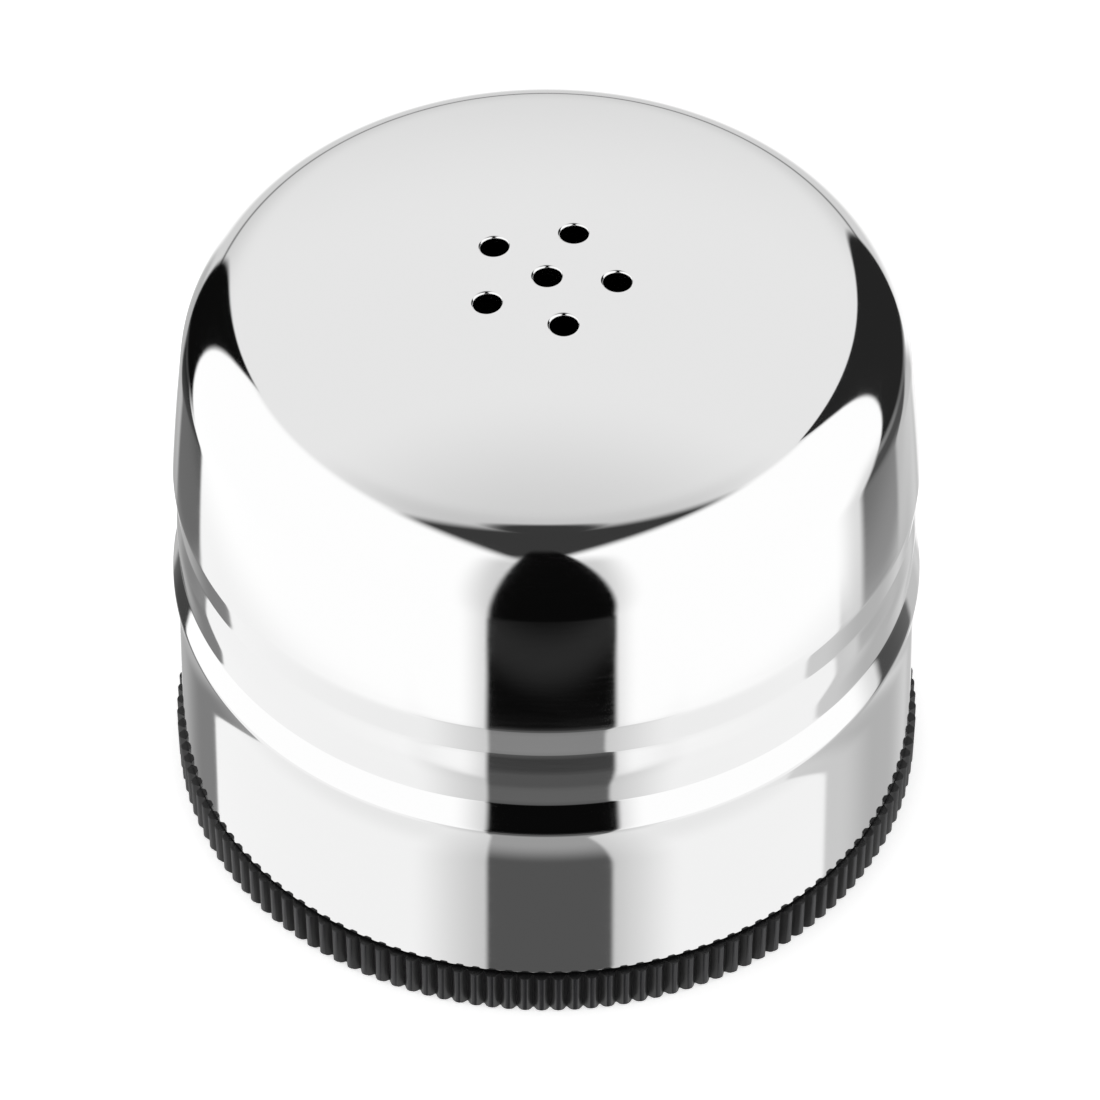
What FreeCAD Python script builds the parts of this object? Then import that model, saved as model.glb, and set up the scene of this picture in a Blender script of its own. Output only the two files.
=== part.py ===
import FreeCAD, Part
import math
import os

# Squat spice shaker: a drawn steel shell with a punched crown on a screw-off moulded base.
# Lengths are in millimetres, angles in degrees.
# The origin is the middle of the underside and +Z points up through the crown.

# Whole object
overall_height = 38.9
overrun = 1.0                  # how far a cutting body runs past the face it cuts
crisp_corners = 2              # kind of join in an offset outline
sideways = FreeCAD.Vector(0, 1, 0)

# Knurled rim of the base
rim_overhang = 0.15            # rib crests outside the steel edge
rim_height = 3.3
rib_pitch = 1.02
rib_land = 0.30                # flat crest of a rib
flute_depth = 0.26
flute_floor_width = 0.24
first_rib_angle = -90.7

# Underside and cup of the base
foot_ring_width = 2.6          # ring that the shaker stands on
recess_depth = 0.8
recess_taper = 0.5             # lean of the recess wall over its depth
floor_thickness = 1.8
cup_bevel = 0.6                # at the foot of the cup wall

# Threaded spigot of the base
spigot_wall = 1.6
spigot_height = 8.2            # above the ledge
spigot_chamfer = 0.5
thread_depth = 0.8
thread_clearance = 0.15

# Sealing ring on the ledge
seal_thickness = 0.5
seal_setback = 0.3             # how far its edge stays inside the steel edge
seal_bore_clearance = 0.2

# Skirt and lower bead of the shell
steel_wall = 0.5
foot_radius = 23.05            # steel edge
skirt_flare = 2.6
skirt_run = 8.5                # straight part of the skirt under the bead
bead_rise_height = 3.5         # from the end of that part to the crest of the bead
bead_rise = 0.24               # crest of the bead over the narrowest skirt
bead_step = 0.50               # from the crest in to the band above it
bead_fall = 2.1                # height of that step

# Band between the beads
band_height = 4.2
band_crown = 0.05
groove_depth = 0.14            # groove under the lip
lip_rise = 0.19
lip_height = 2.2

# Body and crown
body_tilt = 4.7                # lean of the wall at the lip
body_bow_radius = 210.0
shoulder_radius = 4.9
crown_radius = 85.5

# Pouring holes
hole_diameter = 1.9
hole_circle_radius = 4.06
holes_on_circle = 5
first_hole_angle = -4.5

# Threaded collar in the shell
collar_wall = 1.56
snap_clearance = 0.05
collar_setback = 0.3           # up from the steel edge
collar_height = 13.0
collar_chamfer = 0.6

# Heights that follow from the sizes above
ledge_height = rim_height
cup_floor_height = recess_depth + floor_thickness
spigot_top_height = ledge_height + spigot_height
steel_edge_height = ledge_height + seal_thickness
skirt_top_height = steel_edge_height + skirt_run
collar_foot_height = steel_edge_height + collar_setback
collar_top_height = collar_foot_height + collar_height


def skirt_radius(height):
    """Outer radius of the flared skirt at a height."""
    return foot_radius - (height - steel_edge_height) * math.tan(math.radians(skirt_flare))


# Radii that follow, from the steel inwards to the cup, and out to the rim
skirt_top_radius = skirt_radius(skirt_top_height)
collar_bore_radius = skirt_top_radius - steel_wall - snap_clearance - collar_wall
spigot_radius = collar_bore_radius - thread_clearance - thread_depth
cup_radius = spigot_radius - spigot_wall
rim_radius = foot_radius + rim_overhang


def at(radius, height):
    """A point of an outline that is turned about the Z axis."""
    return FreeCAD.Vector(radius, 0, height)


def round_point(radius, angle):
    """A point of a plan outline, from its radius and its angle about the Z axis."""
    return FreeCAD.Vector(
        radius * math.cos(math.radians(angle)), radius * math.sin(math.radians(angle)), 0)


def heading(angle):
    """Unit direction in the outline's plane, from the angle above the horizontal."""
    return at(math.cos(math.radians(angle)), math.sin(math.radians(angle)))


def tube(inner_radius, outer_radius, low, high):
    bar = Part.makeCylinder(outer_radius, high - low, at(0, low))
    bore = Part.makeCylinder(inner_radius, high - low, at(0, low))
    return bar.cut(bore)


def turned(*corners):
    """Solid of revolution: the corners of its half section start and end on the Z axis."""
    section = Part.Face(Part.makePolygon(corners + corners[:1]))
    return section.revolve(at(0, 0), at(0, 1), 360)


def arc_about(centre, radius, start_angle, end_angle):
    middle_angle = (start_angle + end_angle) / 2
    points = [centre + heading(angle) * radius for angle in (start_angle, middle_angle, end_angle)]
    return Part.Arc(*points).toShape()


def angle_to(start, end):
    return math.degrees(math.atan2(end.z - start.z, end.x - start.x))


def outer_crossing(centre_a, radius_a, centre_b, radius_b):
    """The crossing of two circles that lies further from the Z axis."""
    way = centre_b - centre_a
    gap = way.Length
    along = (gap ** 2 + radius_a ** 2 - radius_b ** 2) / (2 * gap)
    across = math.sqrt(radius_a ** 2 - along ** 2)
    way.normalize()
    side = at(-way.z, way.x)
    crossings = [centre_a + way * along + side * across * sign for sign in (-1, 1)]
    return max(crossings, key=lambda crossing: crossing.x)


def crown_centre():
    return at(0, overall_height - crown_radius)


def shell_outline():
    """Outer line of the steel from the table plane up over the beads to the end of the shoulder."""
    bead = at(skirt_top_radius + bead_rise, skirt_top_height + bead_rise_height)
    band_foot = bead + at(-bead_step, bead_fall)
    band_middle = band_foot + at(band_crown, band_height / 2)
    groove = band_foot + at(-groove_depth, band_height)
    lip = groove + at(lip_rise, lip_height)
    rolled = Part.makePolygon([
        at(skirt_radius(0), 0), at(skirt_top_radius, skirt_top_height),
        bead, band_foot, band_middle, groove, lip])
    bow_centre = lip - heading(body_tilt) * body_bow_radius
    shoulder_centre = outer_crossing(
        bow_centre, body_bow_radius - shoulder_radius,
        crown_centre(), crown_radius - shoulder_radius)
    shoulder_start = angle_to(bow_centre, shoulder_centre)
    crown_start = angle_to(crown_centre(), shoulder_centre)
    drawn = [
        arc_about(bow_centre, body_bow_radius, body_tilt, shoulder_start),
        arc_about(shoulder_centre, shoulder_radius, shoulder_start, crown_start),
    ]
    return Part.Wire(rolled.Edges + drawn)


def shell_form(inset):
    """Filled solid of the shell's outline, a given depth inside the outer face of the steel."""
    outline = shell_outline()
    if inset > 0:
        outline = outline.makeOffset2D(inset, crisp_corners, False, True)
    ends = [outline.OrderedVertexes[0].Point, outline.OrderedVertexes[-1].Point]
    foot, shoulder = sorted(ends, key=lambda end: end.z)
    closing = Part.makePolygon([shoulder, at(0, shoulder.z), at(0, foot.z), foot])
    section = Part.Face(Part.Wire([outline, closing]))
    wall = section.revolve(at(0, 0), at(0, 1), 360)
    return wall.fuse(crown_dome(crown_radius - inset, shoulder.z))


def crown_dome(radius, foot_height):
    """Cap of a ball that lies on its side, so that the seam of its surface misses the crown."""
    ball = Part.makeSphere(radius, crown_centre(), sideways)
    return ball.common(Part.makeCylinder(foot_radius, overall_height, at(0, foot_height)))


def punches():
    """One punch through the middle of the crown and a ring of punches round it."""
    middle = Part.makeCylinder(hole_diameter / 2, overall_height, at(0, steel_edge_height))
    on_circle = []
    for number in range(holes_on_circle):
        punch = middle.translated(at(hole_circle_radius, 0))
        punch.rotate(at(0, 0), at(0, 1), first_hole_angle + number * 360 / holes_on_circle)
        on_circle.append(punch)
    return [middle] + on_circle


def make_shell():
    """Drawn and rolled steel cup, upside down, with its pouring holes punched through."""
    blank = shell_form(0).cut(shell_form(steel_wall))
    trim = Part.makeCylinder(rim_radius + overrun, steel_edge_height + overrun, at(0, -overrun))
    return blank.cut(trim).cut(punches())


def make_threaded_collar():
    """Moulded collar that snaps up into the lower bead and carries the female thread."""
    blank = tube(collar_bore_radius, rim_radius, collar_foot_height, collar_top_height)
    fitted = blank.common(shell_form(steel_wall + snap_clearance))
    bevel_radius = collar_bore_radius + collar_chamfer
    bevel_foot = at(0, collar_top_height - collar_chamfer)
    lead_in = Part.makeCone(bevel_radius, collar_bore_radius, collar_chamfer, at(0, collar_foot_height))
    run_out = Part.makeCone(collar_bore_radius, bevel_radius, collar_chamfer, bevel_foot)
    return fitted.cut([lead_in, run_out])


def make_seal_ring():
    """Flat washer between the ledge and the steel edge."""
    bore_radius = spigot_radius + seal_bore_clearance
    return tube(bore_radius, foot_radius - seal_setback, ledge_height, steel_edge_height)


def knurled_outline():
    """Ring of flat-topped ribs with flutes between them."""
    rib_count = round(2 * math.pi * rim_radius / rib_pitch)
    step = 360 / rib_count
    floor_radius = rim_radius - flute_depth
    half_land = math.degrees(rib_land / rim_radius) / 2
    half_floor = math.degrees(flute_floor_width / floor_radius) / 2
    points = []
    for number in range(rib_count):
        crest_angle = first_rib_angle + number * step
        flute_angle = crest_angle + step / 2
        points.append(round_point(rim_radius, crest_angle - half_land))
        points.append(round_point(rim_radius, crest_angle + half_land))
        points.append(round_point(floor_radius, flute_angle - half_floor))
        points.append(round_point(floor_radius, flute_angle + half_floor))
    return Part.makePolygon(points + points[:1])


def make_base_cap():
    """Knurled rim, ledge, spigot with its cup, and the recessed underside, moulded in one."""
    rim = Part.Face(knurled_outline()).extrude(at(0, rim_height))
    spigot = turned(
        at(0, recess_depth),
        at(spigot_radius, recess_depth),
        at(spigot_radius, spigot_top_height - spigot_chamfer),
        at(spigot_radius - spigot_chamfer, spigot_top_height),
        at(0, spigot_top_height))
    cup = turned(
        at(0, cup_floor_height),
        at(cup_radius - cup_bevel, cup_floor_height),
        at(cup_radius, cup_floor_height + cup_bevel),
        at(cup_radius, spigot_top_height + overrun),
        at(0, spigot_top_height + overrun))
    recess_radius = rim_radius - foot_ring_width
    recess = turned(
        at(0, -overrun),
        at(recess_radius, -overrun),
        at(recess_radius, 0),
        at(recess_radius - recess_taper, recess_depth),
        at(0, recess_depth))
    return rim.fuse(spigot).cut([cup, recess])


def export(shape, node):
    shape.exportStep(os.path.join("parts", node + ".step"))


os.makedirs("parts", exist_ok=True)
export(make_shell(), "shell")
export(make_threaded_collar(), "threaded_collar")
export(make_seal_ring(), "seal_ring")
export(make_base_cap(), "base_cap")
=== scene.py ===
import bpy
import bmesh
import math
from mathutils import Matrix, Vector


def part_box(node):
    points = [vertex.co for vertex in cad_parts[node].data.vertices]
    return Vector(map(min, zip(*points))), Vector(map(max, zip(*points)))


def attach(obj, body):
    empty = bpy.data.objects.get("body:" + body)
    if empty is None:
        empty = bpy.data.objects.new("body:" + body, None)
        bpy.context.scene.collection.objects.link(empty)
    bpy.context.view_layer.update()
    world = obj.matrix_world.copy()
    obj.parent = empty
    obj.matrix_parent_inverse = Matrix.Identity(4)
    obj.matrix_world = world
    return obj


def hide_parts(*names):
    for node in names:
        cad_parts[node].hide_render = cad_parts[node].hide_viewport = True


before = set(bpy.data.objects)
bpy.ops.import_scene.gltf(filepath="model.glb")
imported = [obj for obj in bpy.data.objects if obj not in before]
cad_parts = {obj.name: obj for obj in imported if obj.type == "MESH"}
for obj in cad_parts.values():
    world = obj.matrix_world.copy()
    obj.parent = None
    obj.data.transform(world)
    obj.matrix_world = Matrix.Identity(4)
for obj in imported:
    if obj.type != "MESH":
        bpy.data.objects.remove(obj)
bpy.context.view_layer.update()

# Lengths are in millimetres, as on the drawing of the shaker, and angles in degrees.
# A length is turned to metres once, where a mesh is made.
mm = 0.001

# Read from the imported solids
steel_low, steel_high = [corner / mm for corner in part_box("shell")]
seal_low, seal_high = [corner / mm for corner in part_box("seal_ring")]
base_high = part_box("base_cap")[1] / mm
edge_height = steel_low.z
foot_radius = steel_high.x
overall_height = steel_high.z
rim_radius = base_high.x
rim_height = seal_low.z
spigot_top_height = base_high.z

# Steel shell
steel_wall = 0.5
edge_bend = 0.08               # rounding of the cut edge at the foot
foot_setback = 0.24            # the skirt ends this far inside the edge of the solid
foot_clearance = 0.22          # between the cut edge and the ribs under it
skirt_flare = 1.6
bead_tangent_height = 10.3     # over the solid's edge, where the skirt's line meets the bead's slope
skirt_bend = 14.0              # the skirt sweeps softly out into the bead
bead_height = 12.0             # crest of the lower bead over the solid's edge
bead_rise = 0.288
bead_step = 0.50
bead_fall = 2.1
crest_bend = 1.3               # rolled corners that stand out
root_bend = 0.6                # rolled corners that lie in
band_height = 4.2
band_crown = 0.05
band_bend = 12.0
groove_depth = 0.11
lip_rise = 0.16
lip_height = 2.2
body_tilt = 4.7
body_bow_radius = 210.0
shoulder_radius = 4.9
crown_radius = 85.5

# Pouring holes
hole_radius = 0.82             # throat of the punched hole, inside its rolled edge
hole_edge = 0.17               # rounding that the punch rolls into the steel
punch_shift = Vector((0.08, 0.0))    # the throat lies to one side of the rolled edge
hole_circle_radius = 4.06
holes_on_circle = 5
first_hole_angle = -4.5
hub_radius = 2.2               # the middle hole's share of the crown
plate_radius = 6.4             # the part of the crown that holds all the holes

# Moulded base
rib_pitch = 1.02
rib_land = 0.32
rib_edge = 0.05                # rounding of a rib's corners
flute_depth = 0.42
flute_root = 0.05              # rounding at the bottom of a flute
rim_bevel = 0.16
rib_stop = 0.3                 # the ribs end this far under the sealing ring's ledge
ledge_clearance = 0.13         # between the ledge and the steel round it
foot_ring_width = 2.6
recess_depth = 0.8
recess_taper = 0.5
floor_thickness = 1.8
cup_bevel = 0.6
spigot_wall = 1.6
spigot_chamfer = 0.5
first_rib_angle = -90.7
moulded_edge = 0.12

# Sealing ring
seal_bore_clearance = 0.2
seal_bend = 0.12

# Screw thread between the base and the collar
thread_lead = 3.0
thread_depth = 0.8
thread_root_width = 1.35
thread_crest_width = 0.55
thread_low = 5.0
thread_turns = 1.75
thread_fade = 25.0             # turn over which an end of the ridge runs out
thread_end = 1.0               # an end of the ridge starts as if this far along its run-out
thread_sink = 0.05             # how deep the ridge's foot lies in the wall
thread_clearance = 0.15        # between the ridge on the spigot and the collar's bore
collar_bore_radius = 20.554    # as in the solid
spigot_radius = collar_bore_radius - thread_clearance - thread_depth

# Fineness of the meshes
columns_round_steel = 320
run_step = 0.35
bend_step = 4.0
weld_distance = 0.002
sharp_angle = 38.0             # faces that meet at more than this keep their edge
lip_reach = 3                  # points of the bowed wall that the lip's bend takes up
columns_between_holes = 16
hole_row_shares = (0, 0.25, 0.5, 0.7, 0.85, 0.95, 1)    # rows on the way in to a hole
edge_step = 15                 # between the rows of a rolled edge

# Sizes of the patterns in the materials
line_spacing = 0.2             # buffing lines on the steel
line_stretch = 2.0             # their length in the pattern for a turn of one radian
smear_size = 9.0               # smears of polish on the steel
grain_size = 0.15              # eroded grain on the mouldings
worn_depth = 0.1               # how far the wear reaches in from the crests of the knurl
worn_patch_size = 2.5
bloom_size = 1.5               # dull patches on the rubber

# Table: a painted pool of light, white round the shaker, pale grey further off, so that the pale crown
# shows from the side
pool_start = 95.0
pool_end = 230.0
distant_grey = 0.80
near_glow = 0.55               # the table's own light for the camera, near the shaker
far_glow = 0.3
table_half = 3000.0

# A direction sees a board when it points at least this much towards it
least_depth = 0.001

# Camera, as the photograph was taken
photo_width = 1100
focal_pixels = 5174
sensor_width = 36.0
camera_place = Vector((0.22, -218.5, 244.0))
camera_pitch = 43.78

# Where the base and the steel meet
rib_top_height = rim_height - rib_stop
ledge_radius = foot_radius - foot_setback - steel_wall - ledge_clearance


def turn(angle):
    """Unit vector in plan at an angle about the Z axis."""
    return Vector((math.cos(math.radians(angle)), math.sin(math.radians(angle))))


def bend_steps(radius, angle):
    """How many steps an arc needs, both for its angle and for its length."""
    return 2 + int(abs(angle) * max(1 / bend_step, math.radians(radius) / run_step))


def rounded(corners):
    """Line through (point, bend) corners, each rounded to its bend radius."""
    points = []
    for number, (corner, bend) in enumerate(corners):
        if bend == 0:
            points.append(corner)
            continue
        back = (corners[number - 1][0] - corner).normalized()
        ahead = (corners[number + 1][0] - corner).normalized()
        half_angle = back.angle(ahead) / 2
        reach = bend / math.tan(half_angle)
        centre = corner + (back + ahead).normalized() * (bend / math.sin(half_angle))
        start = (corner + back * reach - centre).normalized()
        end = (corner + ahead * reach - centre).normalized()
        steps = bend_steps(bend, math.degrees(start.angle(end)))
        points += [centre + start.slerp(end, step / steps) * bend for step in range(steps + 1)]
    return points


def finely(points):
    """The same line with points no further apart than the run step."""
    fine = points[:1]
    for start, end in zip(points, points[1:]):
        steps = math.ceil((end - start).length / run_step)
        fine += [start.lerp(end, step / steps) for step in range(1, steps + 1)]
    return fine


def arc(centre, radius, start_angle, end_angle):
    steps = bend_steps(radius, end_angle - start_angle)
    angles = [start_angle + (end_angle - start_angle) * step / steps for step in range(steps + 1)]
    return [centre + turn(angle) * radius for angle in angles]


def inset(points, distance):
    """The line a distance to the left of its own direction."""
    moved = []
    for number, point in enumerate(points):
        run = points[min(number + 1, len(points) - 1)] - points[max(number - 1, 0)]
        moved.append(point + Vector((-run.y, run.x)).normalized() * distance)
    return moved


def skin(mesh, rows):
    """Four-sided faces between neighbouring rows of points, each row a closed ring."""
    corners = [[mesh.verts.new(point * mm) for point in row] for row in rows]
    count = len(rows[0])
    for low, high in zip(corners, corners[1:]):
        for number in range(count):
            after = (number + 1) % count
            mesh.faces.new((low[number], low[after], high[after], high[number]))


def make_piece(mesh, name, body, material, node=None):
    """Ends a mesh as a smooth object that rides on its body."""
    bmesh.ops.remove_doubles(mesh, verts=mesh.verts, dist=weld_distance * mm)
    bmesh.ops.recalc_face_normals(mesh, faces=mesh.faces)
    data = bpy.data.meshes.new(name)
    mesh.to_mesh(data)
    mesh.free()
    data.shade_smooth()
    data.set_sharp_from_angle(angle=math.radians(sharp_angle))
    data.materials.append(material)
    piece = bpy.data.objects.new(name, data)
    bpy.context.scene.collection.objects.link(piece)
    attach(piece, body)
    if node:
        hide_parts(node)


def outer_crossing(centre_a, radius_a, centre_b, radius_b):
    """The crossing of two circles that lies further from the Z axis."""
    way = centre_b - centre_a
    along = (way.length ** 2 + radius_a ** 2 - radius_b ** 2) / (2 * way.length)
    across = math.sqrt(radius_a ** 2 - along ** 2)
    way.normalize()
    side = Vector((-way.y, way.x))
    crossings = [centre_a + way * along + side * across * sign for sign in (-1, 1)]
    return max(crossings, key=lambda crossing: crossing.x)


def angle_to(start, end):
    return math.degrees(math.atan2(end.y - start.y, end.x - start.x))


def steel_outline():
    """Outer line of the steel, as (radius, height), from the foot to the plate with the holes."""
    foot = Vector((foot_radius - foot_setback, rib_top_height + foot_clearance))
    skirt_top = foot + (edge_height + bead_tangent_height - foot.y) * Vector((
        -math.tan(math.radians(skirt_flare)), 1))
    bead = Vector((skirt_top.x + bead_rise, edge_height + bead_height))
    band_foot = bead + Vector((-bead_step, bead_fall))
    band_middle = band_foot + Vector((band_crown, band_height / 2))
    groove = band_foot + Vector((-groove_depth, band_height))
    lip = groove + Vector((lip_rise, lip_height))
    bow_centre = lip - turn(body_tilt) * body_bow_radius
    crown_centre = Vector((0, overall_height - crown_radius))
    shoulder_centre = outer_crossing(
        bow_centre, body_bow_radius - shoulder_radius,
        crown_centre, crown_radius - shoulder_radius)
    shoulder_start = angle_to(bow_centre, shoulder_centre)
    crown_start = angle_to(crown_centre, shoulder_centre)
    plate_angle = math.degrees(math.acos(plate_radius / crown_radius))
    bow = finely(arc(bow_centre, body_bow_radius, body_tilt, shoulder_start))
    rolled = rounded([
        (foot, 0), (skirt_top, skirt_bend), (bead, crest_bend), (band_foot, root_bend),
        (band_middle, band_bend), (groove, root_bend), (lip, crest_bend), (bow[lip_reach], 0)])
    shoulder = arc(shoulder_centre, shoulder_radius, shoulder_start, crown_start)
    crown = arc(crown_centre, crown_radius, crown_start, plate_angle)
    return finely(rolled + bow[lip_reach + 1:] + shoulder[1:] + crown[1:])


def crown_height(radius, depth):
    """Height of the crown's outer face, or of a face some depth inside the steel."""
    ball = crown_radius - depth
    return overall_height - crown_radius + math.sqrt(ball ** 2 - radius ** 2)


def on_crown(plan, depth):
    return Vector((plan.x, plan.y, crown_height(plan.length, depth)))


def plate_sector(middle_angle, outer_radius):
    """Plan outline of the share of the plate that belongs to one hole of the circle."""
    half = 180 / holes_on_circle
    arc_steps = columns_round_steel // holes_on_circle
    first = middle_angle - half
    last = middle_angle + half
    outside = [turn(first + 2 * half * step / arc_steps) * outer_radius for step in range(arc_steps)]
    side = [
        outer_radius + (hub_radius - outer_radius) * step / columns_between_holes
        for step in range(columns_between_holes)]
    inside = [turn(last - 2 * half * step / arc_steps) * hub_radius for step in range(arc_steps)]
    return (
        outside + [turn(last) * radius for radius in side]
        + inside + [turn(first) * (outer_radius + hub_radius - radius) for radius in side])


def hole_rows(boundary, centre, throat_centre, depth, edge):
    """Rows of points from a plan boundary in to a hole, whose edge rolls down by its rounding."""
    spokes = [(point - centre).normalized() for point in boundary]
    throat = [throat_centre + spoke * hole_radius for spoke in spokes]
    rim = [centre + spoke * (hole_radius + edge) for spoke in spokes]
    rows = []
    for share in hole_row_shares:
        rows.append([on_crown(start.lerp(end, share), depth) for start, end in zip(boundary, rim)])
    if edge:
        for angle in range(edge_step, 90 + edge_step, edge_step):
            share = math.sin(math.radians(angle))
            drop = Vector((0, 0, edge * (1 - math.cos(math.radians(angle)))))
            rows.append([
                on_crown(start.lerp(end, share), depth) - drop for start, end in zip(rim, throat)])
    return rows


def add_hole(mesh, centre, outer_boundary, inner_boundary):
    """One punched hole with both faces of the steel round it and the wall between them.

    The punch leans a little, so the rolled edge is wider on one side."""
    throat_centre = centre + punch_shift
    outside = hole_rows(outer_boundary, centre, throat_centre, 0, hole_edge)
    inside = hole_rows(inner_boundary, throat_centre, throat_centre, steel_wall, 0)
    skin(mesh, outside)
    skin(mesh, inside)
    skin(mesh, [outside[-1], inside[-1]])


def ring_angles():
    """Angles of the columns of points round the steel and the sealing ring."""
    first = first_hole_angle - 180 / holes_on_circle
    return [first + 360 * number / columns_round_steel for number in range(columns_round_steel)]


def turned(section):
    """Rows of points of a section that is turned about the Z axis."""
    angles = ring_angles()
    return [[Vector((*turn(angle) * at.x, at.y)) for angle in angles] for at in section]


def make_steel_shell(material):
    outer = steel_outline()
    inner = [point for point in inset(outer, steel_wall) if point.y > outer[0].y + 2 * steel_wall]
    inner_foot = Vector((outer[0].x - steel_wall, outer[0].y))
    edge = rounded([(inner[0], 0), (inner_foot, edge_bend), (outer[0], edge_bend), (outer[1], 0)])
    mesh = bmesh.new()
    skin(mesh, turned(inner[::-1] + edge[1:] + outer[2:]))
    for number in range(holes_on_circle):
        angle = first_hole_angle + 360 * number / holes_on_circle
        add_hole(
            mesh, turn(angle) * hole_circle_radius,
            plate_sector(angle, outer[-1].x), plate_sector(angle, inner[-1].x))
    hub = [turn(angle) * hub_radius for angle in ring_angles()]
    add_hole(mesh, Vector((0, 0)), hub, hub)
    make_piece(mesh, "steel_shell", "shell", material, "shell")


def knurl(rib_count):
    """(angle, radius) round the rim: flat lands with V-shaped flutes between them, all corners
    slightly rounded. The columns stand closest together at those corners."""
    pitch = 2 * math.pi * rim_radius / rib_count
    half_land = rib_land / 2
    half_flute = pitch / 2 - half_land
    steepness = flute_depth / (half_flute - flute_root)
    one_side = [
        half_land - rib_edge, half_land, half_land + rib_edge,
        half_land + half_flute / 2, pitch / 2 - flute_root]
    places = [-place for place in one_side[::-1]] + [0] + one_side + [pitch / 2]
    columns = []
    for number in range(rib_count):
        for place in places:
            past_land = half_flute - math.hypot(pitch / 2 - abs(place), flute_root)
            depth = steepness * (past_land + math.hypot(past_land, rib_edge)) / 2
            angle = first_rib_angle + math.degrees((number * pitch + place) / rim_radius)
            columns.append((angle, rim_radius - depth))
    return columns


def make_moulded_base(material):
    """Knurled rim, ledge, spigot with its cup and recessed underside, in one moulding."""
    cup_radius = spigot_radius - spigot_wall
    cup_floor = recess_depth + floor_thickness
    recess_radius = rim_radius - foot_ring_width
    recess_top = recess_radius - recess_taper
    section = rounded([
        (Vector((0, recess_depth)), 0),
        (Vector((recess_top, recess_depth)), moulded_edge),
        (Vector((recess_radius, 0)), moulded_edge),
        (Vector((rim_radius - rim_bevel, 0)), 0),
        (Vector((rim_radius, rim_bevel)), 0),
        (Vector((rim_radius, rib_top_height - rib_edge)), 0),
        (Vector((rim_radius - rib_edge, rib_top_height)), 0),
        (Vector((ledge_radius, rib_top_height)), moulded_edge),
        (Vector((ledge_radius, rim_height)), moulded_edge),
        (Vector((spigot_radius, rim_height)), moulded_edge),
        (Vector((spigot_radius, spigot_top_height - spigot_chamfer)), 0),
        (Vector((spigot_radius - spigot_chamfer, spigot_top_height)), 0),
        (Vector((cup_radius, spigot_top_height)), moulded_edge),
        (Vector((cup_radius, cup_floor + cup_bevel)), cup_bevel),
        (Vector((cup_radius - cup_bevel, cup_floor)), 0),
        (Vector((0, cup_floor)), 0)])
    rib_count = round(2 * math.pi * rim_radius / rib_pitch)
    columns = knurl(rib_count)
    rows = [[Vector((*turn(angle) * min(at.x, rim), at.y)) for angle, rim in columns] for at in section]
    mesh = bmesh.new()
    skin(mesh, rows)
    make_piece(mesh, "moulded_base", "base", material, "base_cap")


def make_seal_ring(material):
    """Flat rubber ring on the ledge, inside the foot of the steel."""
    bore_radius = spigot_radius + seal_bore_clearance
    middle = (seal_low.z + seal_high.z) / 2
    section = rounded([
        (Vector((bore_radius, middle)), 0),
        (Vector((bore_radius, seal_low.z)), seal_bend),
        (Vector((ledge_radius, seal_low.z)), seal_bend),
        (Vector((ledge_radius, seal_high.z)), seal_bend),
        (Vector((bore_radius, seal_high.z)), seal_bend),
        (Vector((bore_radius, middle)), 0)])
    mesh = bmesh.new()
    skin(mesh, turned(section))
    make_piece(mesh, "sealing_ring", "seal", material, "seal_ring")


def make_thread(name, body, material, root, crest, low):
    """Helical ridge between a root and a crest radius, running out to nothing at both ends."""
    whole_turn = thread_turns * 360
    steps = int(whole_turn / bend_step)
    sections = []
    for step in range(steps + 1):
        angle = whole_turn * step / steps
        to_end = min(angle, whole_turn - angle)
        fade = min(1, (to_end + thread_end) / thread_fade)
        top = root + (crest - root) * fade
        foot_half = thread_root_width * fade / 2
        top_half = thread_crest_width * fade / 2
        height = low + thread_lead * angle / 360
        profile = [(root, -foot_half), (top, -top_half), (top, top_half), (root, foot_half)]
        sections.append([Vector((*turn(angle) * radius, height + rise)) for radius, rise in profile])
    mesh = bmesh.new()
    skin(mesh, sections)
    mesh.faces.new(mesh.verts.new(point * mm) for point in sections[0])
    mesh.faces.new(mesh.verts.new(point * mm) for point in sections[-1])
    make_piece(mesh, name, body, material)


def linear(hex_colour):
    """sRGB hex to linear red, green, blue and a full alpha, by the curve of the sRGB standard."""
    shares = [int(hex_colour[place:place + 2], 16) / 255 for place in (1, 3, 5)]
    colour = [
        share / 12.92 if share <= 0.04045 else ((share + 0.055) / 1.055) ** 2.4
        for share in shares]
    return (*colour, 1)


def add(tree, kind, inputs, **settings):
    """Adds a node, applies its settings, and links or fills its inputs by name or number."""
    node = tree.nodes.new(kind)
    for setting, value in settings.items():
        setattr(node, setting, value)
    for socket, value in inputs.items():
        if isinstance(value, bpy.types.NodeSocket):
            tree.links.new(value, node.inputs[socket])
        else:
            node.inputs[socket].default_value = value
    return node


def new_material(name):
    material = bpy.data.materials.new(name)
    material.use_nodes = True
    return material, material.node_tree, material.node_tree.nodes["Principled BSDF"]


def ramp(tree, value, start, full, low=0.0, high=1.0):
    """Soft step of a value from one level to another."""
    return add(tree, "ShaderNodeMapRange", {
        "Value": value, "From Min": start, "From Max": full, "To Min": low, "To Max": high},
        interpolation_type="SMOOTHSTEP").outputs[0]


def blend(tree, share, level, other_level):
    """A level that gives way to another by a share."""
    return add(tree, "ShaderNodeMix", {0: share, 2: level, 3: other_level}).outputs[0]


def calculate(tree, operation, first, second):
    return add(tree, "ShaderNodeMath", {0: first, 1: second}, operation=operation).outputs[0]


def object_place(tree):
    return add(tree, "ShaderNodeTexCoord", {}).outputs["Object"]


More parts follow.
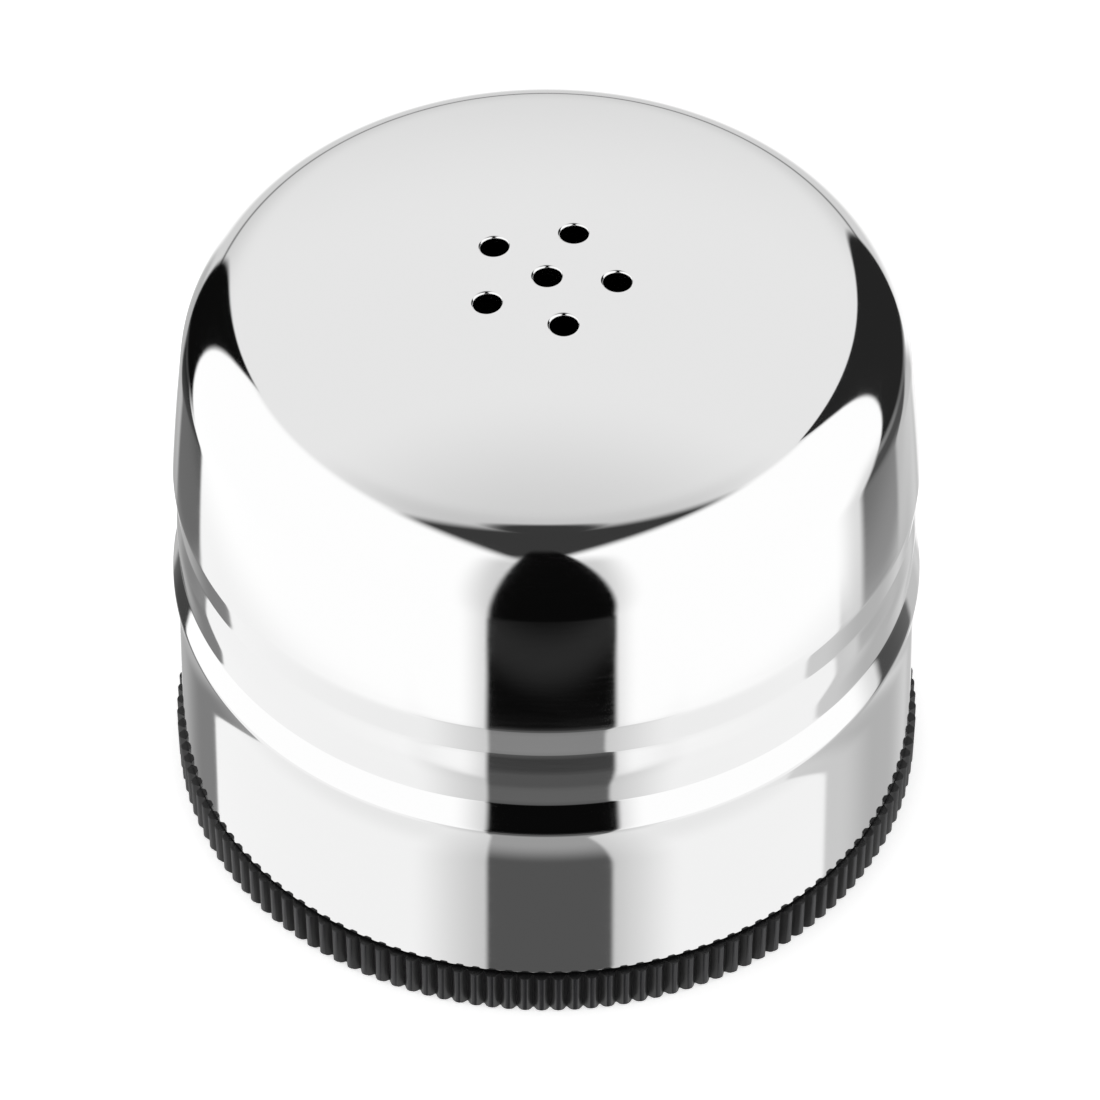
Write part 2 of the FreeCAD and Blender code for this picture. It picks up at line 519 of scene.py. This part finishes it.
def axis_distance(tree, place):
    """How far a place is from the Z axis."""
    split = add(tree, "ShaderNodeSeparateXYZ", {"Vector": place}).outputs
    plan = add(tree, "ShaderNodeCombineXYZ", {"X": split["X"], "Y": split["Y"]}).outputs[0]
    return add(tree, "ShaderNodeVectorMath", {0: plan}, operation="LENGTH").outputs["Value"]


def buffed_stainless():
    """Drawn stainless sheet, buffed on a wheel: a mirror with soft smears of polish and very fine
    lines that run round it. Real lines are about 0.02 mm apart; these are coarser, so that they show."""
    material, tree, shader = new_material("buffed_stainless")
    shader.inputs["Metallic"].default_value = 1.0
    shader.inputs["Base Color"].default_value = linear("#ececec")
    place = object_place(tree)
    split = add(tree, "ShaderNodeSeparateXYZ", {"Vector": place}).outputs
    radius = axis_distance(tree, place)
    way_round = calculate(tree, "ARCTAN2", split["Y"], split["X"])
    drawn_out = calculate(tree, "MULTIPLY", way_round, line_stretch * mm)
    along = add(tree, "ShaderNodeCombineXYZ", {
        "X": radius, "Y": drawn_out, "Z": split["Z"]}).outputs[0]
    lines = add(tree, "ShaderNodeTexNoise", {
        "Vector": along, "Scale": 1 / (line_spacing * mm), "Detail": 2})
    smear = add(tree, "ShaderNodeTexNoise", {
        "Vector": place, "Scale": 1 / (smear_size * mm), "Detail": 3})
    line_share = 0.4
    polish = blend(tree, line_share, smear.outputs["Fac"], lines.outputs["Fac"])
    mirror_roughness = 0.03
    smear_roughness = 0.075
    rough = add(tree, "ShaderNodeMapRange", {
        "Value": polish, "From Min": 0.35, "From Max": 0.7,
        "To Min": mirror_roughness, "To Max": smear_roughness})
    tree.links.new(rough.outputs["Result"], shader.inputs["Roughness"])
    bump = add(tree, "ShaderNodeBump", {
        "Height": lines.outputs["Fac"], "Strength": 0.1, "Distance": 0.002 * mm})
    tree.links.new(bump.outputs["Normal"], shader.inputs["Normal"])
    return material


def moulded_polypropylene():
    """Black polypropylene from a spark-eroded mould: satin and finely grained, with the crests of the
    knurl rubbed paler and smoother by hands. The grain is twice the size of a real one, to show."""
    material, tree, shader = new_material("moulded_polypropylene")
    place = object_place(tree)
    radius = axis_distance(tree, place)
    grain = add(tree, "ShaderNodeTexNoise", {
        "Vector": place, "Scale": 1 / (grain_size * mm), "Detail": 4}).outputs["Fac"]
    colour = add(tree, "ShaderNodeMix", {
        0: grain, 6: linear("#0b0b0c"), 7: linear("#131314")}, data_type="RGBA").outputs[2]
    crest = add(tree, "ShaderNodeMapRange", {
        "Value": radius, "From Min": (rim_radius - worn_depth) * mm,
        "From Max": rim_radius * mm}).outputs[0]
    rubbed = add(tree, "ShaderNodeTexNoise", {
        "Vector": place, "Scale": 1 / (worn_patch_size * mm), "Detail": 3}).outputs["Fac"]
    worn = calculate(tree, "MULTIPLY", crest, rubbed)
    shade = add(tree, "ShaderNodeMix", {
        0: worn, 6: colour, 7: linear("#26262a")}, data_type="RGBA").outputs[2]
    tree.links.new(shade, shader.inputs["Base Color"])
    satin_roughness = 0.45
    worn_roughness = 0.26
    rough = add(tree, "ShaderNodeMapRange", {
        "Value": worn, "To Min": satin_roughness, "To Max": worn_roughness}).outputs[0]
    tree.links.new(rough, shader.inputs["Roughness"])
    bump = add(tree, "ShaderNodeBump", {"Height": grain, "Strength": 0.25, "Distance": 0.02 * mm})
    tree.links.new(bump.outputs["Normal"], shader.inputs["Normal"])
    shader.inputs["IOR"].default_value = 1.49
    shader.inputs["Specular IOR Level"].default_value = 0.42
    return material


def sealing_rubber():
    """Nitrile sealing rubber: dull and darker than the moulding."""
    material, tree, shader = new_material("sealing_rubber")
    bloom = add(tree, "ShaderNodeTexNoise", {
        "Vector": object_place(tree), "Scale": 1 / (bloom_size * mm), "Detail": 5})
    colour = add(tree, "ShaderNodeMix", {
        0: bloom.outputs["Fac"], 6: linear("#0b0b0b"), 7: linear("#151514")}, data_type="RGBA")
    tree.links.new(colour.outputs[2], shader.inputs["Base Color"])
    shader.inputs["Roughness"].default_value = 0.75
    return material


def board_mask(tree, way, facing, left, right, top, bottom, left_blur, right_blur, end_blur):
    """1 where an upright board, square on to a facing angle, is seen in a direction, else 0.

    Azimuth 0 is towards the camera and grows to the right. Places on the board are over its distance:
    left and right each give an edge at table height, its lean and its bow as it rises."""
    across_board = (math.cos(math.radians(facing)), math.sin(math.radians(facing)), 0)
    into_board = (math.sin(math.radians(facing)), -math.cos(math.radians(facing)), 0)
    depth = add(tree, "ShaderNodeVectorMath", {0: way, 1: into_board}, operation="DOT_PRODUCT")
    side = add(tree, "ShaderNodeVectorMath", {0: way, 1: across_board}, operation="DOT_PRODUCT")
    rise = add(tree, "ShaderNodeSeparateXYZ", {"Vector": way}).outputs["Z"]
    ahead = calculate(tree, "MAXIMUM", depth.outputs["Value"], least_depth)
    along = calculate(tree, "DIVIDE", side.outputs["Value"], ahead)
    up = calculate(tree, "DIVIDE", rise, ahead)
    mask = calculate(tree, "GREATER_THAN", depth.outputs["Value"], least_depth)
    edges = [
        (along, left, left_blur), (along, right, -right_blur),
        (up, (top, 0, 0), -end_blur), (up, (bottom, 0, 0), end_blur)]
    for place, (edge, lean, bow), blur in edges:
        slope = add(tree, "ShaderNodeMath", {0: up, 1: bow, 2: lean}, operation="MULTIPLY_ADD")
        line = add(tree, "ShaderNodeMath", {
            0: up, 1: slope.outputs[0], 2: edge}, operation="MULTIPLY_ADD").outputs[0]
        inside = ramp(tree, calculate(tree, "SUBTRACT", place, line), -blur, blur)
        mask = calculate(tree, "MULTIPLY", mask, inside)
    return mask


def light_studio():
    """A pale room with two tall white boards beside the camera and dark gaps between them."""
    world = bpy.data.worlds.new("studio")
    bpy.context.scene.world = world
    world.use_nodes = True
    tree = world.node_tree
    way = add(tree, "ShaderNodeTexCoord", {}).outputs["Generated"]
    height = add(tree, "ShaderNodeSeparateXYZ", {"Vector": way}).outputs["Z"]

    # Dark front and zenith, pale back that dims towards the zenith
    dark_level = 0.045
    front = math.radians(10)   # the dark front is turned this far from the camera
    towards = add(tree, "ShaderNodeVectorMath", {
        0: way, 1: (math.sin(front), -math.cos(front), 0)}, operation="DOT_PRODUCT").outputs["Value"]
    dark = calculate(
        tree, "MAXIMUM", ramp(tree, towards, -0.08, 0.08), ramp(tree, height, 0.985, 0.996))
    rising = ramp(tree, height, 0.0, 0.6, 0.74, 0.94)
    dimming = ramp(tree, height, 0.83, 1.0, 0.0, -0.29)
    room = blend(tree, dark, calculate(tree, "ADD", rising, dimming), dark_level)

    # The table below the horizon, its far edge, and how it shows the two dark wedges
    table_level = 1.12
    far_edge_level = 0.1
    room = blend(tree, ramp(tree, height, -0.22, -0.46), room, table_level)
    level = add(tree, "ShaderNodeMath", {0: height}, operation="ABSOLUTE").outputs[0]
    far_edge = add(tree, "ShaderNodeMapRange", {
        "Value": level, "From Min": 0.05, "From Max": 0.01, "To Max": 0.75}).outputs[0]
    room = blend(tree, far_edge, room, far_edge_level)
    left_mirrored = ramp(tree, height, -0.35, -0.82, 0.012, 0.10)
    right_mirrored = ramp(tree, height, -0.54, -0.68, 0.08, 0.26)

    # Each row: facing, left edge, right edge, top, bottom, then the blur of the left edge, of the
    # right edge and of both ends, and the brightness
    upright = (0, 0)
    boards = [
        # Two tall white boards
        (-72, (-1.42, -0.10, -0.12), (1.60, 0.13, 0.01), 2.35, -9.0, 0.03, 0.03, 0.4, 1.18),
        (63, (-1.01, -0.10, -0.03), (1.192, 0.26, -0.03), 2.45, -9.0, 0.03, 0.03, 0.4, 1.18),
        # Grey wall between them, and the table in front of it
        (0, (-0.36, *upright), (0.385, *upright), 1.2, -9.0, 0.12, 0.12, 0.3, 0.75),
        (0, (-0.6, *upright), (0.6, *upright), -1.05, -9.0, 0.35, 0.35, 0.1, 0.7),
        # Dark gap in that wall, and a paler strip in its image
        (0, (-0.249, 0.072, 0), (0.319, -0.08, -0.03), 1.8, -9.0, 0.02, 0.02, 0.3, 0.003),
        (0, (-0.249, 0.072, 0), (0.319, -0.08, -0.03), -0.665, -0.735, 0.02, 0.02, 0.03, 0.026),
        # Greyer parts of the table towards the back
        (-140, (-0.10, 0.365, 0), (0.0, *upright), -0.30, -1.8, 0.05, 0.05, 0.1, 0.52),
        (118, (-0.32, *upright), (0.1, *upright), -0.35, -1.8, 0.12, 0.1, 0.2, 0.85),
        (128, (-0.1, *upright), (-0.154, -0.70, 0), -0.40, -1.8, 0.05, 0.05, 0.1, 0.58),
        # Dark wedges at the back, then their images in the table
        (-138, (-0.155, 0, 0.12), (0.20, -0.10, -0.12), 1.05, -0.55, 0.02, 0.02, 0.15, 0.004),
        (132, (-0.35, 0.17, 0), (0.345, 0.2, -0.42), 1.50, -0.45, 0.02, 0.02, 0.12, 0.02),
        (-143, (0.228, 0.44, 0), (0.163, -0.118, 0), -0.45, -1.8, 0.04, 0.025, 0.1, left_mirrored),
        (118, (-0.17, *upright), (0.27, *upright), -0.42, -1.8, 0.04, 0.04, 0.1, right_mirrored),
        # What the foot of the steel sees of the table close by: painted shade, the shaker's own shadow
        # on it
        (-146, (-0.40, *upright), (0.345, *upright), -0.97, -1.8, 0.12, 0.03, 0.04, 0.42),
        (-146, (-0.05, *upright), (0.345, *upright), -0.97, -1.8, 0.2, 0.03, 0.04, 0.17),
        (122, (-0.466, *upright), (0.66, *upright), -0.93, -1.8, 0.03, 0.12, 0.05, 0.72),
        (128, (-0.25, *upright), (0.3, *upright), -0.93, -1.8, 0.2, 0.2, 0.05, 0.5),
    ]
    for *board, brightness in boards:
        mask = board_mask(tree, way, *board)
        room = blend(tree, mask, room, brightness)

    # Painted shade: greys for the shaker's own shadow on the table close round it, which the steeper
    # directions reach. Each row: height where a grey of the table starts, where it is full, its share,
    # its brightness
    for start, full, share, brightness in ((-0.62, -0.66, 0.19, 0.5), (-0.75, -0.90, 0.4, 0.8)):
        room = blend(tree, ramp(tree, height, start, full, 0.0, share), room, brightness)
    seen = add(tree, "ShaderNodeLightPath", {}).outputs["Is Camera Ray"]
    tree.links.new(blend(tree, seen, room, distant_grey), tree.nodes["Background"].inputs["Color"])


def lay_table():
    """Pale table under the shaker. It keeps the shadow, shows white to the camera near the shaker,
    and lets the steel see the table as the studio has it."""
    half = table_half * mm
    data = bpy.data.meshes.new("table")
    corners = [(-half, -half, 0), (half, -half, 0), (half, half, 0), (-half, half, 0)]
    data.from_pydata(corners, [], [(0, 1, 2, 3)])
    table = bpy.data.objects.new("table", data)
    bpy.context.scene.collection.objects.link(table)
    material, tree, shader = new_material("white_table")
    radius = axis_distance(tree, object_place(tree))
    # Painted pool of light: the table is whiter and glows more for the camera near the shaker, and is
    # greyer and dimmer further off
    far = ramp(tree, radius, pool_start * mm, pool_end * mm)
    colour = add(tree, "ShaderNodeMix", {
        0: far, 6: linear("#f2f2f2"), 7: linear("#bcbcbc")}, data_type="RGBA").outputs[2]
    tree.links.new(colour, shader.inputs["Base Color"])
    shader.inputs["Roughness"].default_value = 0.9
    path = add(tree, "ShaderNodeLightPath", {})
    shader.inputs["Emission Color"].default_value = (1, 1, 1, 1)
    pool_glow = add(tree, "ShaderNodeMapRange", {
        "Value": far, "To Min": near_glow, "To Max": far_glow}).outputs[0]
    glow = calculate(tree, "MULTIPLY", path.outputs["Is Camera Ray"], pool_glow)
    tree.links.new(glow, shader.inputs["Emission Strength"])
    clear = add(tree, "ShaderNodeBsdfTransparent", {})
    mix = add(tree, "ShaderNodeMixShader", {
        0: path.outputs["Is Glossy Ray"], 1: shader.outputs[0], 2: clear.outputs[0]})
    tree.links.new(mix.outputs[0], tree.nodes["Material Output"].inputs["Surface"])
    data.materials.append(material)


def set_camera():
    data = bpy.data.cameras.new("camera")
    data.sensor_width = sensor_width
    data.lens = focal_pixels / photo_width * sensor_width
    data.clip_start = 10 * mm
    camera = bpy.data.objects.new("camera", data)
    camera.location = camera_place * mm
    camera.rotation_euler = (math.radians(camera_pitch), 0, 0)
    bpy.context.scene.collection.objects.link(camera)
    bpy.context.scene.camera = camera


steel = buffed_stainless()
black_moulding = moulded_polypropylene()
make_steel_shell(steel)
make_moulded_base(black_moulding)
make_thread(
    "spigot_thread", "base", black_moulding,
    spigot_radius - thread_sink, spigot_radius + thread_depth, thread_low)
make_thread(
    "collar_thread", "shell", black_moulding,
    collar_bore_radius + thread_sink, collar_bore_radius - thread_depth, thread_low + thread_lead / 2)
make_seal_ring(sealing_rubber())
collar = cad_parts["threaded_collar"]
collar.data.materials.clear()
collar.data.materials.append(black_moulding)
light_studio()
lay_table()
set_camera()
bpy.context.scene.view_settings.view_transform = "Standard"
